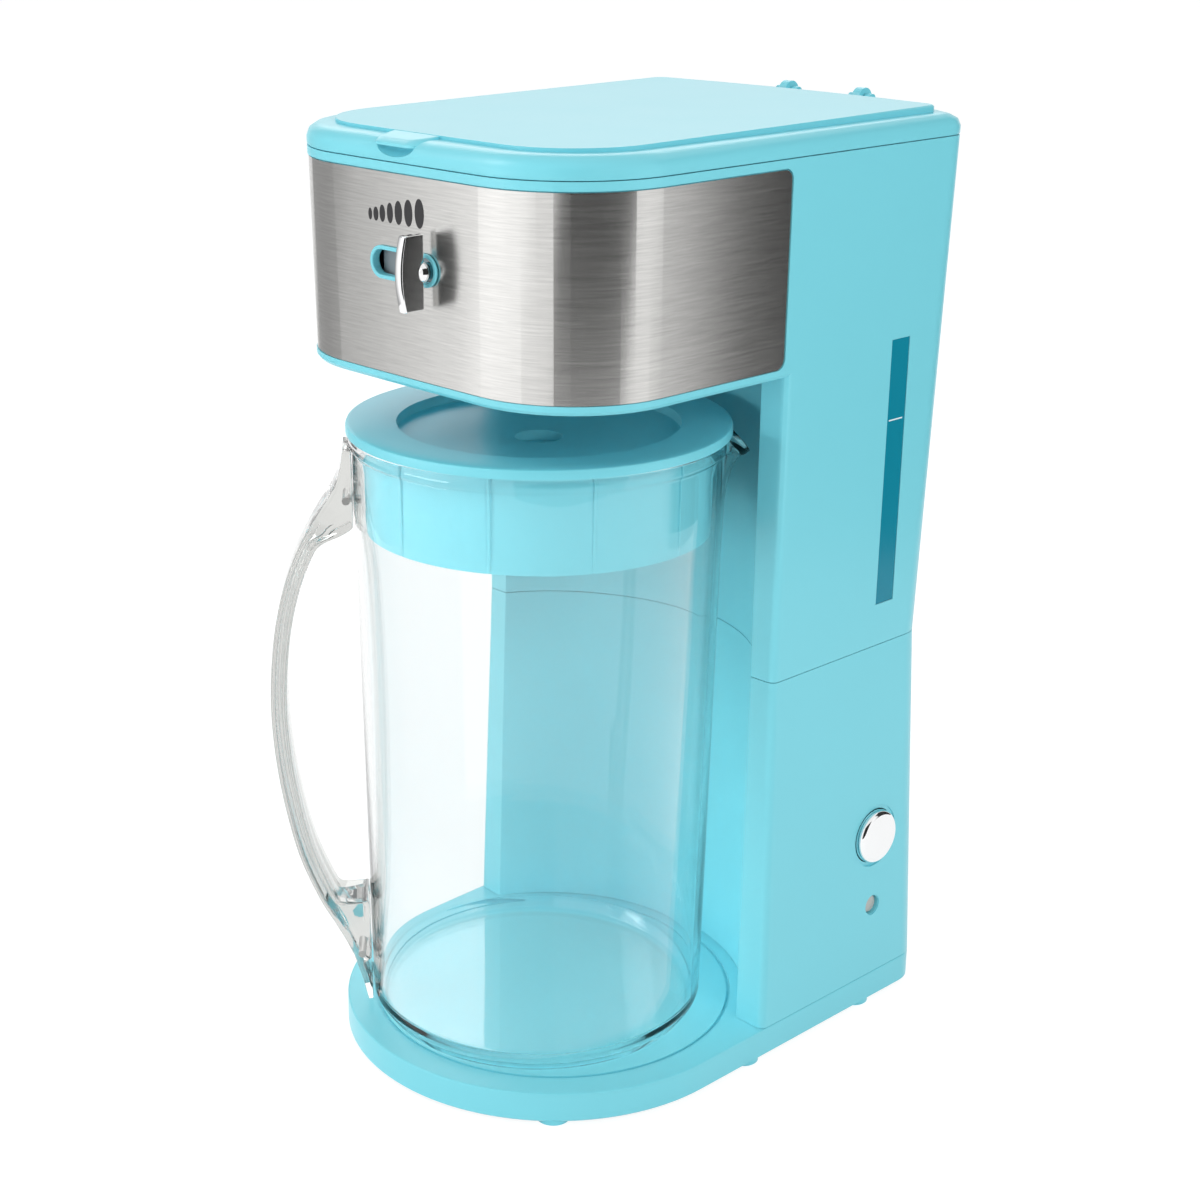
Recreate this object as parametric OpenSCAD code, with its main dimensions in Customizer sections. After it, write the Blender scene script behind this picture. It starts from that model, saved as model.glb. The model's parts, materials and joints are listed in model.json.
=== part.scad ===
// Iced tea maker: column machine with a tank, an overhanging brew head and a lidded pitcher

/* [Body] */
// Width across the base
base_w = 165; // [150:0.5:180]
// Width at the seam half way up the column
waist_w = 157.4; // [145:0.2:175]
// Width at the top of the head
head_w = 160.6; // [148:0.2:178]
// Height of the feet under the base
foot_h = 2; // [1.5:0.5:4]
// Radius of the feet
foot_r = 6.4; // [5:0.2:8]
// Height of the base's top
base_top = 14; // [12:0.5:20]
// Height of the seam between the two housings
waist_z = 156.6; // [140:0.2:180]
// Height of the head's underside
head_z = 273; // [250:0.5:300]
// Height of the head's top edge
seam_z = 349.8; // [335:0.2:370]
// Moulded wall thickness
wall = 2.6; // [2:0.1:3.2]
// Distance from the base circle's centre to the head's front
head_front = 72.8; // [68:0.2:78]
// Slope of the head's front, bottom to top
front_draft = 1.4; // [0.5:0.1:2.5]
// Plan radius of the head's front corners
head_r = 43; // [30:1:52]
// Bow of the head's front
front_bow = 1.1; // [0.4:0.1:3]
// Bow of the back
back_bow = 20; // [12:0.5:26]
// Plan radius of the back corners
back_r = 12; // [8:0.5:18]
// Depth to the back corners at the base
base_back = 130; // [122:0.5:138]
// Depth to the back corners at the waist
waist_back = 124.7; // [118:0.1:134]
// Depth to the back corners at the top
head_back = 132.9; // [126:0.1:140]
// Depth of the column's front strips at the base
base_strip = 33.7; // [30:0.1:38]
// Depth of the column's front strips at the waist
waist_strip = 36.4; // [32:0.1:39]
// Plan radius of the column's front corners
strip_r = 3; // [2:0.5:4]
// Gap that shows at each housing seam
seam_gap = 0.3; // [0.3:0.05:0.8]

/* [Steel band and lever] */
// Height of the plastic lip under the steel band
lip_h = 3.4; // [2.5:0.1:5]
// Depth to the band's ends on both sides
band_end = 34.4; // [30:0.2:36]
// Thickness of the steel band
band_t = 0.8; // [0.5:0.1:1]
// Corner radius of the band's ends
band_r = 4; // [2:0.5:6]
// Height of the lever slot above the band's lower edge
slot_up = 39; // [34:0.5:44]
// Length of the slot's opening
slot_l = 31.8; // [28:0.2:36]
// Height of the slot's opening
slot_h = 8.6; // [8:0.1:10]
// Width of the bezel round the slot
bezel_w = 1.6; // [1.4:0.1:2.4]
// Height of the lever's paddle
paddle_h = 26; // [20:0.5:30]
// Reach of the paddle from the bezel
paddle_l = 10.6; // [8:0.2:14]
// Thickness of the paddle
paddle_t = 3.6; // [2.6:0.1:4.5]
// Radius of the lever's stem
stem_r = 3; // [2.5:0.1:3.4]

/* [Button and window] */
// Depth of the button, lamp and window along the side
side_y = 100.7; // [95:0.5:105]
// Height of the button above the base's top
button_up = 61; // [55:0.5:70]
// Radius of the brew button
button_r = 11.1; // [10:0.1:14]
// How far the button stands out of the side
button_out = 3; // [2:0.1:4]
// Travel of the button
button_in = 2; // [1.5:0.1:2.5]
// Height of the lamp above the base's top
lamp_up = 30.4; // [28:0.2:34]
// Radius of the lamp's lens
lamp_r = 3.8; // [3:0.1:4.5]
// Width of the level window
window_w = 10.6; // [8:0.2:14]
// Height of the window's lower end above the waist
window_up = 17; // [14:0.5:24]

/* [Lid] */
// Height of the lid's rim above the head
rim_h = 8; // [7:0.2:10]
// Thickness of the lid
lid_t = 2.5; // [2:0.1:3]
// Distance from the head's front to the raised panel
panel_set = 10.8; // [8:0.2:16]
// Step up to the raised panel at its front
panel_front = 1.2; // [0.6:0.1:2]
// Step up to the raised panel at its back
panel_back = 2.6; // [1:0.1:3.2]
// Distance from the head's side to the raised panel
panel_side = 9.3; // [6:0.1:14]
// Distance from the head's back corners to the raised panel
panel_end = 2; // [1:0.5:6]
// Width of the finger scoop
scoop_w = 21.6; // [20:0.2:30]
// Depth of the finger scoop
scoop_d = 5; // [3:0.2:7]
// Distance from the centre to the hinge axis
hinge_y = 147.6; // [144:0.2:148]
// Distance from the middle to each hinge lug
hinge_x = 18.7; // [16:0.1:30]
// Radius of the hinge lugs
lug_r = 4.2; // [3.6:0.1:4.6]
// Radius of the hinge pins
pin_r = 1.2; // [1:0.05:1.4]

/* [Pitcher] */
// Radius of the ring groove that locates the pitcher
ring_r = 71; // [69:0.5:73]
// Clear space between the ring groove and the recess wall
recess_gap = 6; // [4:0.5:7]
// Radius of the pitcher's wall at the rim
pit_r = 68.9; // [66:0.1:69.4]
// Draft of the pitcher's wall over its height
pit_draft = 3.9; // [2:0.1:4.4]
// Thickness of the pitcher's wall
pit_wall = 2.6; // [2:0.1:3]
// Air between the pitcher's lid and the head
pour_gap = 21.4; // [20.5:0.2:26]
// Radius of the pitcher lid's flange
flange_r = 71.2; // [70:0.1:72.4]
// Thickness of the pitcher lid's flange
flange_t = 4; // [3.4:0.1:5]
// Depth of the pitcher lid's skirt
skirt_d = 36; // [28:0.5:42]
// Space between the skirt and the pitcher's wall
skirt_gap = 2.4; // [1:0.1:3]
// Radius of the pitcher lid's dish
dish_r = 52.5; // [46:0.5:56]
// Reach of the handle from the pitcher's axis
handle_reach = 102.4; // [98:0.2:105]
// Width of the handle
handle_w = 20; // [16:0.5:24]
// Turn of the handle from the front towards the left
handle_turn = 40; // [38:1:44]
// Reach of the spout from the pitcher's axis
spout_reach = 78.4; // [76:0.2:79]

/* [Hidden] */
$fn = 64;

blue = [0.33, 0.73, 0.83];
chrome = [0.8, 0.8, 0.82];
steel = [0.68, 0.68, 0.68];
dark = [0.12, 0.12, 0.13];
clear = [0.85, 0.9, 0.92, 0.4];
milky = [0.88, 0.93, 0.94, 0.6];
rubber = [0.2, 0.2, 0.2];
metal = [0.75, 0.76, 0.78];

eps = 0.01;
fit = 0.3;
flat = 0.02;
far = 400;
screw_r = 1.4;
screw_fit = 0.05;

head_strip = (base_strip + 2);
recess_r = ring_r + recess_gap;
rim_z = seam_z + rim_h;
back_max = head_back + back_bow;
pit_y = -(recess_r - flange_r + 3);
pit_z = base_top + fit;
lid_top = head_z - pour_gap;
pit_rim = lid_top - flange_t;
bead_h = 4.6;
lug_half = 4;
pin_bore = 1.55;
bow_t = 6;
bow_out = bow_radius(105, handle_reach - pit_r - 1.1);
bow_in = bow_radius(92, handle_reach - bow_t - pit_r + 3.6);
bead_out = 1.6;
low_r = pit_r - pit_draft;
handle_front = -pit_y + handle_reach * cos(handle_turn) + handle_w / 2 * sin(handle_turn);
mid_y = (back_max - handle_front) / 2;

band_z0 = head_z + lip_h;
band_z1 = seam_z - 3.2;
band_in = 0.35;
band_cut = band_in + band_t + 0.15;
band_drop = 0.35;
slot_z = band_z0 + slot_up;
slot_y = front_at(slot_z);
ball_r = stem_r + 0.5;
lever_x = slot_l / 2 - ball_r - fit;
shutter_half = lever_x + slot_l / 2 - 1;
shutter_y = slot_y + wall + 0.9;
stem_back = slot_y + wall + 3.8;

hinge_z = rim_z - 0.8;
scoop_x = -3.8;
scoop_up = 5.3;
scoop_fn = 48;
tab_x = -4.5;
tab_w = scoop_w + 1.9;
tab_r = 5.5;
tab_out = 0.4;
lug_w = 3.6;
lug_gap = 0.4;
knuckle_r = 2.05;
knuckle_half = 5.4;
pin_half = 4.6;
sweep_r = 9.9;
side_pick = half_w(base_top + button_up);
lamp_x = half_w(base_top + lamp_up);
mid_x = max(side_pick + button_out - base_w / 2, 0) / 2;

tongue = 1.4;
tongue_h = 4;
ledge_z = waist_z + 7;
ledge_t = 3;
tank_gap = 1.2;
tank_z = ledge_z + ledge_t + fit;
tank_top = seam_z - 7.8;
tank_wall = 2;
heater_x0 = -36;
heater_x1 = 40;
heater_t = 8;
sheet_t = 1.2;
low_hose = 50;
valve_r = 8;
valve_l = 28;
hose_x = -58;
hose_y = 100;
riser_y = 118;
heat_z = base_top + 30;
hose_r = 6;
tube_r = 4;
riser_r = 4.8;
bend_r = 12;
basket_r = 50;
basket_top = seam_z - 9.8;
basket_z = head_z + 7;

// Outline helpers
function mix(a, b, t) = a + (b - a) * t;
function low_t(z) = (z - base_top) / (waist_z - base_top);
function high_t(z) = (z - waist_z) / (seam_z - waist_z);
function pick_z(z, a, b, c) = z < waist_z ? mix(a, b, low_t(z)) : mix(b, c, high_t(z));
function half_w(z) = pick_z(z, base_w, waist_w, head_w) / 2;
function back_at(z) = pick_z(z, base_back, waist_back, head_back) + back_bow;
function strip_at(z) = pick_z(z, base_strip, waist_strip, head_strip);
function front_at(z) = -head_front + front_draft * (seam_z - z) / (seam_z - head_z);
function bow_radius(half, rise) = (half * half + rise * rise) / (2 * rise);
function turn(c, p) = atan2(p[1] - c[1], p[0] - c[0]);
function arc(c, r, a, b, n, i0) =
    [for (i = [i0:n]) c + r * [cos(mix(a, b, i / n)), sin(mix(a, b, i / n))]];
function half_ring(w, yf, yb, kf, kb, rf, rb, nf, nc) =
    let (rr = w * w / (2 * kf), rk = w * w / (2 * kb), cf = [0, yf + rr], cb = [0, yb - rk],
        ff = [w - rf, cf[1] - sqrt(max(pow(rr - rf, 2) - pow(w - rf, 2), 0))],
        fb = [w - rb, cb[1] + sqrt(max(pow(rk - rb, 2) - pow(w - rb, 2), 0))])
    concat(arc(cf, rr, -90, turn(cf, ff), nf, 0), nc > 0 ? arc(ff, rf, turn(cf, ff), 0, nc, 1) : [],
        arc(fb, rb, 0, turn(cb, fb), 5, 0), arc(cb, rk, turn(cb, fb), 90, 8, 1));
function ring(w, yf, yb, kf, kb, rf, rb, nf, nc) =
    let (h = half_ring(w, yf, yb, kf, kb, rf, rb, nf, nc), n = len(h))
    concat(h, [for (i = [n - 2:-1:1]) [-h[i][0], h[i][1]]]);
function head_ring(z, in) = ring(half_w(z) - in, front_at(z) + in, back_at(z) - in, front_bow,
    back_bow, head_r - in, max(back_r - in, 1), 3, 12);
function column_ring(z, in) = ring(half_w(z) - in, strip_at(z) + in, back_at(z) - in, flat,
    back_bow, max(strip_r - in, 0.6), max(back_r - in, 1), 1, 3);
function base_ring(in) = ring(base_w / 2 - in, -base_w / 2 + in, base_back + back_bow - in,
    base_w / 4 - in / 2, back_bow, 10, back_r - in, 30, 0);

// Solid between stacked rings
module skin(rings, zs) {
    n = len(rings[0]);
    m = len(rings);
    polyhedron(
        [for (k = [0:m - 1]) for (p = rings[k]) [p[0], p[1], zs[k]]],
        concat([[for (i = [0:n - 1]) i]], [[for (i = [n - 1:-1:0]) (m - 1) * n + i]],
            [for (k = [0:m - 2]) for (i = [0:n - 1])
                [k * n + i, (k + 1) * n + i, (k + 1) * n + (i + 1) % n]],
            [for (k = [0:m - 2]) for (i = [0:n - 1])
                [k * n + i, (k + 1) * n + (i + 1) % n, k * n + (i + 1) % n]]));
}

module head_block(z0, z1, in) skin([head_ring(z0, in), head_ring(z1, in)], [z0, z1]);
module column_block(z0, z1, in) skin([column_ring(z0, in), column_ring(z1, in)], [z0, z1]);
module base_block(z0, z1, in) skin([base_ring(in), base_ring(in)], [z0, z1]);
module placed() translate([-mid_x, -mid_y, 0]) children();
module on_axis() placed() translate([0, pit_y, 0]) children();
module at(x, y, z) translate([x, y, z]) children();
module along_x(x, y, z, r, l) translate([x, y, z]) rotate([0, 90, 0]) cylinder(r = r, h = l);
module along_y(x, y, z, r, l) translate([x, y, z]) rotate([-90, 0, 0]) cylinder(r = r, h = l);
module rod(x, y, z, r, l) translate([x, y, z]) cylinder(r = r, h = l);
module block(x0, x1, y0, y1, z0, z1) translate([x0, y0, z0]) cube([x1 - x0, y1 - y0, z1 - z0]);
module both() { children(); mirror([1, 0, 0]) children(); }
module disc(z0, z1, r) rod(0, 0, z0, r, z1 - z0);
module pipe_ring(z0, z1, r0, r1) difference() { disc(z0, z1, r1); disc(z0 - 1, z1 + 1, r0); }

// Obround prism through the head's front
module slot_prism(l, h, y0, y1) {
    block(-l / 2 + h / 2, l / 2 - h / 2, y0, y1, slot_z - h / 2, slot_z + h / 2);
    both() along_y(l / 2 - h / 2, y0, slot_z, h / 2, y1 - y0);
}

// Side view mask of the steel band
module band_mask(grow) {
    z0 = band_z0 - grow;
    z1 = band_z1 + grow;
    ye = band_end + grow;
    block(-far, far, -far, ye - band_r, z0, z1);
    block(-far, far, -far, ye, z0 + band_r, z1 - band_r);
    for (z = [z0 + band_r, z1 - band_r]) along_x(-far, ye - band_r, z, band_r, 2 * far);
}

// Positions shared by the base's screws and feet
function polar(c, r, a) = c + r * [cos(a), sin(a)];
function base_spots() = [polar([0, 0], base_w / 2 - 11.8, -61.3), [base_w / 2 - 16.5, 4],
    [base_w / 2 - 16.5, 64], [base_w / 2 - 52.5, base_back - 12]];
function foot_spots() = [polar([0, 0], base_w / 2 - foot_r - 0.9, -43.4),
    [base_w / 2 - foot_r - 0.9, 31], [base_w / 2 - foot_r - 0.9, base_back - 31]];
function head_corner() = [half_w(head_z) - head_r, front_at(head_z) + head_r];
function floor_spots() = [[half_w(head_z) - 6.1, -10], [half_w(head_z) - 6.1, 24],
    polar(head_corner(), head_r - 6.4, -53.5)];
function joint_spots() = [[waist_w / 2 - 6.1, 62], [waist_w / 2 - 6.1, 115]];

module base_plate() color(blue) placed() {
    difference() {
        skin([base_ring(0.8), base_ring(0), base_ring(0), base_ring(0.3), base_ring(1)],
            [foot_h, foot_h + 0.8, base_top - 1, base_top - 0.3, base_top]);
        base_block(foot_h - 1, base_top - wall, wall);
        pipe_ring(base_top - 0.8, base_top + 1, ring_r - 0.7, ring_r + 0.7);
    }
    both() for (p = base_spots()) difference() {
        rod(p[0], p[1], foot_h + wall, 4, base_top - foot_h - 1.5 * wall);
        rod(p[0], p[1], foot_h + wall - 1, screw_r + screw_fit, 7.4);
    }
}

module bottom_cover() color(dark) placed() difference() {
    base_block(foot_h, foot_h + wall - 0.1, wall + fit);
    both() for (p = base_spots()) {
        rod(p[0], p[1], foot_h - 1, screw_r + 0.3, wall + 2);
        rod(p[0], p[1], foot_h - 1, 3.2, 2.2);
    }
    both() for (p = foot_spots()) rod(p[0], p[1], foot_h - 1, 2.5, wall + 2);
    for (i = [-3:3]) block(-14, 14, 70 + 5 * i, 72.2 + 5 * i, foot_h - 1, foot_h + wall + 1);
}

module feet() color(blue) placed() both() for (p = foot_spots()) {
    rod(p[0], p[1], 0, foot_r, foot_h);
    rod(p[0], p[1], foot_h - eps, 2.45, wall);
    rod(p[0], p[1], foot_h + wall - 0.05, 3.1, 1);
}

module base_screws() color(metal) placed() both() for (p = base_spots()) difference() {
    union() {
        rod(p[0], p[1], foot_h + 0.1, 2.8, 1.1);
        rod(p[0], p[1], foot_h + 1, screw_r, 7.2);
    }
    for (a = [0, 90]) at(p[0], p[1], foot_h) rotate([0, 0, a])
        block(-1.6, 1.6, -0.3, 0.3, -0.5, 0.6);
}

// Column cavity behind the recess wall
module column_cavity(z0, z1, in) difference() {
    column_block(z0, z1, in);
    disc(z0 - 1, z1 + 1, recess_r + in);
}

module lower_housing() color(blue) placed() {
    z0 = base_top + 0.2;
    z1 = waist_z - seam_gap / 2;
    by = base_top + button_up;
    ly = base_top + lamp_up;
    gy = base_top + 18;
    difference() {
        union() {
            difference() {
                column_block(z0, z1, 0);
                disc(z0 - 1, z1 + 1, recess_r);
                column_cavity(z0 - 1, z1 + 1, wall);
            }
            intersection() {
                column_block(z0, z1, 1);
                union() {
                    along_x(side_pick - wall - 12, side_y, by, button_r + 5, 14);
                    along_x(lamp_x - wall - 5, side_y, ly, lamp_r + 3.4, 7);
                }
            }
            both() for (p = joint_spots()) rod(p[0], p[1], z1 - 24, 4.4, 19.6);
        }
        along_x(side_pick - wall - 13, side_y, by, button_r + 2, 13);
        along_x(side_pick - wall - 2, side_y, by, button_r + 0.35, 20);
        along_x(side_pick - 0.6, side_y, by, button_r + 1.9, 20);
        along_x(lamp_x - wall - 6, side_y, ly, lamp_r + 1.6, 6.2);
        along_x(lamp_x - wall - 6, side_y, ly, lamp_r + 0.2, 20);
        along_x(lamp_x - 0.4, side_y, ly, lamp_r + 0.5, 20);
        along_y(0, 120, gy, 6.1, 60);
        both() for (p = joint_spots()) rod(p[0], p[1], z1 - 25, screw_r + screw_fit, 22);
        for (i = [0:5]) both() block(12 + 7 * i, 15 + 7 * i, 120, 200, base_top + 40, base_top + 70);
    }
}

// Part of the head that overhangs the pitcher
module overhang(in) {
    block(-far, far, -far, strip_at(head_z) - in, head_z - far, head_z + far);
    disc(head_z - far, head_z + far, recess_r - in);
}

module upper_housing() color(blue) placed() {
    z0 = waist_z + seam_gap / 2;
    difference() {
        union() {
            difference() {
                column_block(z0, head_z + 1.2, 0);
                disc(z0 - 1, head_z + 3, recess_r);
            }
            skin([head_ring(head_z, 1), head_ring(head_z + 1.2, 0), head_ring(seam_z, 0)],
                [head_z, head_z + 1.2, seam_z]);
            difference() {
                column_block(waist_z - tongue_h, z0 + 1, wall + fit);
                disc(waist_z - 10, z0 + 2, recess_r + wall + fit);
            }
        }
        difference() {
            union() {
                column_cavity(waist_z - tongue_h - 1, z0 + 3, wall + fit + tongue);
                column_cavity(z0 + 3 - eps, ledge_z, wall);
            }
            both() for (p = joint_spots()) rod(p[0], p[1], waist_z - 4.4, 4.4, 20);
        }
        both() for (p = joint_spots()) rod(p[0], p[1], waist_z - 9, screw_r + 0.2, 20);
        column_cavity(ledge_z + ledge_t, head_z + 4, wall);
        skin([head_ring(head_z + 3.5, wall + 0.5), head_ring(head_z + 4, wall),
            head_ring(seam_z + 1, wall)], [head_z + 3.5, head_z + 4, seam_z + 1]);
        intersection() {
            head_block(head_z - 1, head_z + 5, wall + fit);
            overhang(fit);
        }
        difference() {
            intersection() {
                head_block(band_z0 - 5, band_z1 + 5, -3);
                band_mask(0.15);
            }
            head_block(band_z0 - 6, band_z1 + 6, band_cut);
        }
        slot_prism(slot_l + 2 * bezel_w - 1.2, slot_h + 2 * bezel_w - 1.2, -90, -60);
        along_x(-90, hinge_y, hinge_z, sweep_r, 180);
        window_cut(0);
        for (y = [hose_y, riser_y])
            at(hose_x, y, ledge_z - 1) cylinder(r = hose_r + 1.5, h = ledge_t + 2);
        both() for (p = joint_spots()) rod(p[0], p[1], ledge_z + ledge_t - 1.5, 3.1, 3);
        at(25, 105, ledge_z - 1) cylinder(r = 10, h = ledge_t + 2);
    }
    both() difference() {
        intersection() {
            for (p = floor_spots()) rod(p[0], p[1], head_z + 3.6, 4.4, 12);
            head_block(head_z + 3, head_z + 16, wall / 2);
        }
        for (p = floor_spots()) rod(p[0], p[1], head_z + 2, screw_r + screw_fit, 11);
    }
    both() difference() {
        union() {
            along_x(hinge_x - lug_w / 2, hinge_y, hinge_z, lug_r, lug_w);
            block(hinge_x - lug_w / 2, hinge_x + lug_w / 2, hinge_y - lug_r, hinge_y + 2.4,
                tank_top + 0.9, hinge_z);
        }
        along_x(hinge_x - 10, hinge_y, hinge_z, pin_r + 0.01, 20);
    }
}

module window_cut(in) {
    z0 = waist_z + window_up + in;
    z1 = head_z + 4.7 - in;
    block(60, 100, side_y - window_w / 2 + in, side_y + window_w / 2 - in, z0, z1);
}

module level_window() color(milky) placed() {
    z0 = waist_z + window_up;
    z1 = head_z + 4.7;
    intersection() {
        difference() {
            column_block(z0 - 8, z1 + 8, 0.2);
            column_block(z0 - 9, z1 + 9, wall + 0.9);
        }
        union() {
            window_cut(0.15);
            intersection() {
                column_block(z0 - 8, z1 + 8, wall + 0.1);
                window_cut(-3);
            }
        }
    }
}

module water_tank() color(milky) placed() difference() {
    difference() {
        head_block(tank_z, tank_top, wall + tank_gap);
        tank_front(wall + tank_gap);
    }
    difference() {
        head_block(tank_z + tank_wall, tank_top + 1, wall + tank_gap + tank_wall);
        tank_front(wall + tank_gap + tank_wall);
    }
    rod(hose_x, hose_y, tank_z - 1, hose_r + 0.6, tank_wall + 2);
    rod(hose_x, riser_y, tank_z - 1, hose_r + 0.6, tank_wall + 2);
}

// Space kept free in front of the tank
module tank_front(in) {
    disc(tank_z - 1, tank_top + 2, recess_r + in + 0.6);
    block(-far, far, -far, strip_at(waist_z) + in, tank_z - 1, tank_top + 2);
}

module tank_seal() color(rubber) placed() for (y = [hose_y, riser_y]) difference() {
    union() {
        rod(hose_x, y, tank_z + tank_wall, hose_r + 1.1, 2);
        rod(hose_x, y, tank_z - 0.2, hose_r + 0.55, tank_wall + 0.4);
    }
    rod(hose_x, y, tank_z - 1, (y > hose_y ? riser_r : tube_r) + screw_fit, 8);
}

module steel_band() color(steel) placed() difference() {
    intersection() {
        difference() {
            head_block(band_z0 - 2, band_z1 + 2, band_in);
            head_block(band_z0 - 3, band_z1 + 3, band_in + band_t);
        }
        band_mask(0);
        translate([0, 0, -band_drop]) band_mask(0);
    }
    slot_prism(slot_l + 2 * bezel_w - 1, slot_h + 2 * bezel_w - 1, -90, -60);
}

module slot_bezel() color(blue) placed() difference() {
    union() {
        slot_prism(slot_l + 2 * bezel_w + 1.4, slot_h + 2 * bezel_w + 0.2, slot_y - 0.9, slot_y + 0.2);
        slot_prism(slot_l + 2 * bezel_w - 1.4, slot_h + 2 * bezel_w - 1.4, slot_y, slot_y + wall - 0.2);
    }
    slot_prism(slot_l, slot_h, slot_y - 3, slot_y + wall + 3);
}

module strength_lever() color(chrome) placed() {
    y0 = slot_y - 0.9 - 1.6;
    bow = 2;
    rr = (paddle_h * paddle_h / 4 + bow * bow) / (2 * bow);
    intersection() {
        block(lever_x - paddle_t / 2, lever_x + paddle_t / 2, y0 - paddle_l, y0,
            slot_z - paddle_h / 2, slot_z + paddle_h / 2);
        along_x(lever_x - 5, y0 - paddle_l + rr, slot_z, rr, 10, $fn = 180);
    }
    at(lever_x, y0 - 0.2, slot_z) sphere(r = ball_r);
    difference() {
        along_y(lever_x, y0 - 1, slot_z, stem_r, stem_back - y0 + 1);
        along_y(lever_x, stem_back - 4, slot_z, screw_r + screw_fit, 6);
    }
}

module lever_carriage() color(dark) placed() {
    y0 = shutter_y;
    difference() {
        block(lever_x - shutter_half, lever_x + shutter_half, y0, stem_back, slot_z - 8, slot_z + 8);
        along_y(lever_x, y0 - 1, slot_z, stem_r + screw_fit, stem_back - y0 + 2);
    }
}

module bypass_gate() color(milky) placed() {
    y1 = stem_back;
    difference() {
        union() {
            block(lever_x - 6, lever_x + 6, y1 + eps, y1 + 1.6, slot_z - 5, slot_z + 5);
            block(lever_x - 1.5, lever_x + 1.5, y1 + 1.5, y1 + 5, slot_z - 5, slot_z + 5);
            block(lever_x - 8, lever_x + 8, y1 + 5 - eps, y1 + 6.4, slot_z - 22, slot_z + 8);
        }
        along_y(lever_x, y1 - 1, slot_z, screw_r + screw_fit, 9);
        along_y(lever_x, y1 + 1.7, slot_z, 3, 9);
    }
}

module lever_screw() color(metal) placed() difference() {
    union() {
        along_y(lever_x, stem_back - 3, slot_z, screw_r, 5);
        along_y(lever_x, stem_back + 1.75, slot_z, 2.7, 1.6);
    }
    block(lever_x - 2, lever_x + 2, stem_back + 2.8, stem_back + 4, slot_z - 0.3, slot_z + 0.3);
}

module lever_guide() color(dark) placed() {
    y0 = shutter_y;
    y1 = stem_back;
    reach = lever_x + shutter_half + 0.9;
    for (s = [-1, 1]) mirror([0, 0, s < 0 ? 1 : 0]) at(0, 0, s * slot_z) {
        block(-reach, reach, y0, y1 + 2.2, 8.3, 11);
        block(-reach, reach, y1 + fit, y1 + 2.2, 5.6, 8.4);
    }
    both() block(reach, reach + 2.4, y0, y1 + 2.2, slot_z - 11, slot_z + 11);
}

module head_floor() color(blue) placed() {
    z0 = head_z + 0.8;
    difference() {
        union() {
            intersection() {
                head_block(z0, z0 + 2.6, wall + 2 * fit);
                overhang(2 * fit);
            }
            at(0, pit_y, 0) {
                pipe_ring(z0 + 2, basket_z + 9, basket_r - 4.4, basket_r - 2.6);
                pipe_ring(z0 + 2, basket_z + 2.4, 30, 32);
            }
        }
        at(0, pit_y, 0) disc(z0 - 1, z0 + 5, 16);
        both() for (p = floor_spots()) {
            rod(p[0], p[1], z0 - 1, screw_r + 0.3, 8);
            rod(p[0], p[1], z0 - 1, 3.2, 2.2);
        }
    }
    at(0, pit_y, 0) pipe_ring(z0 + 0.2, z0 + 4.4, 16 - eps, 18);
}

module floor_screws() color(metal) placed() both() for (p = floor_spots()) difference() {
    union() {
        rod(p[0], p[1], head_z + 1, 2.8, 1);
        rod(p[0], p[1], head_z + 1.9, screw_r, 10);
    }
    block(p[0] - 1.6, p[0] + 1.6, p[1] - 0.3, p[1] + 0.3, head_z, head_z + 1.5);
}

module brew_basket() color(blue) on_axis() {
    z0 = basket_z;
    z1 = basket_top;
    rotate_extrude() polygon([[5, z0 - 4], [7, z0 - 4], [7, z0 + 1], [basket_r - 6.2, z0 + 4],
        [basket_r - 1.6, z1 - 2], [basket_r + 2, z1 - 2], [basket_r + 2, z1], [basket_r - 3, z1],
        [basket_r - 8, z0 + 6.2], [5, z0 + 3]]);
    for (a = [0:60:300]) rotate([0, 0, a]) difference() {
        block(6, basket_r - 8.5, -0.8, 0.8, z0 + 3, z0 + 7.4);
        disc(z0, z0 + 9, 8);
    }
}

module filter_cage() color(dark) on_axis() {
    z0 = basket_z + 8;
    z1 = basket_top - 6;
    ro = basket_r - 5.4;
    difference() {
        rotate_extrude() polygon([[0, z0], [ro - 5, z0], [ro - 0.4, z1], [ro - 2, z1],
            [ro - 6.4, z0 + 1.4], [0, z0 + 1.4]]);
        for (a = [0:30:330]) rotate([0, 0, a + 15])
            block(ro - 12, ro + 5, -9, 9, z0 + 6, z1 - 5);
        for (a = [0:60:300]) rotate([0, 0, a]) block(12, ro - 10, -5, 5, z0 - 1, z0 + 3);
    }
}

module filter_mesh() color(steel) on_axis() {
    z0 = basket_z + 8;
    z1 = basket_top - 8;
    ro = basket_r - 7.6;
    rotate_extrude() polygon([[0, z0 + 1.6], [ro - 4.7, z0 + 1.6], [ro - 0.8, z1],
        [ro - 1.3, z1], [ro - 5.1, z0 + 2], [0, z0 + 2]]);
}

// Bent tube in a vertical plane along X, from a level run to an upright
module elbow(x, y, z, r, q, s) translate([x, y, z + bend_r]) rotate([-90, 0, 0])
    rotate([0, 0, s > 0 ? 0 : 90]) rotate_extrude(angle = 90) translate([bend_r, 0]) difference() {
        circle(r = r);
        circle(r = q);
    }

module tube(x, y, z, r, q, l) difference() {
    rod(x, y, z, r, l);
    rod(x, y, z - 1, q, l + 2);
}

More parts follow.
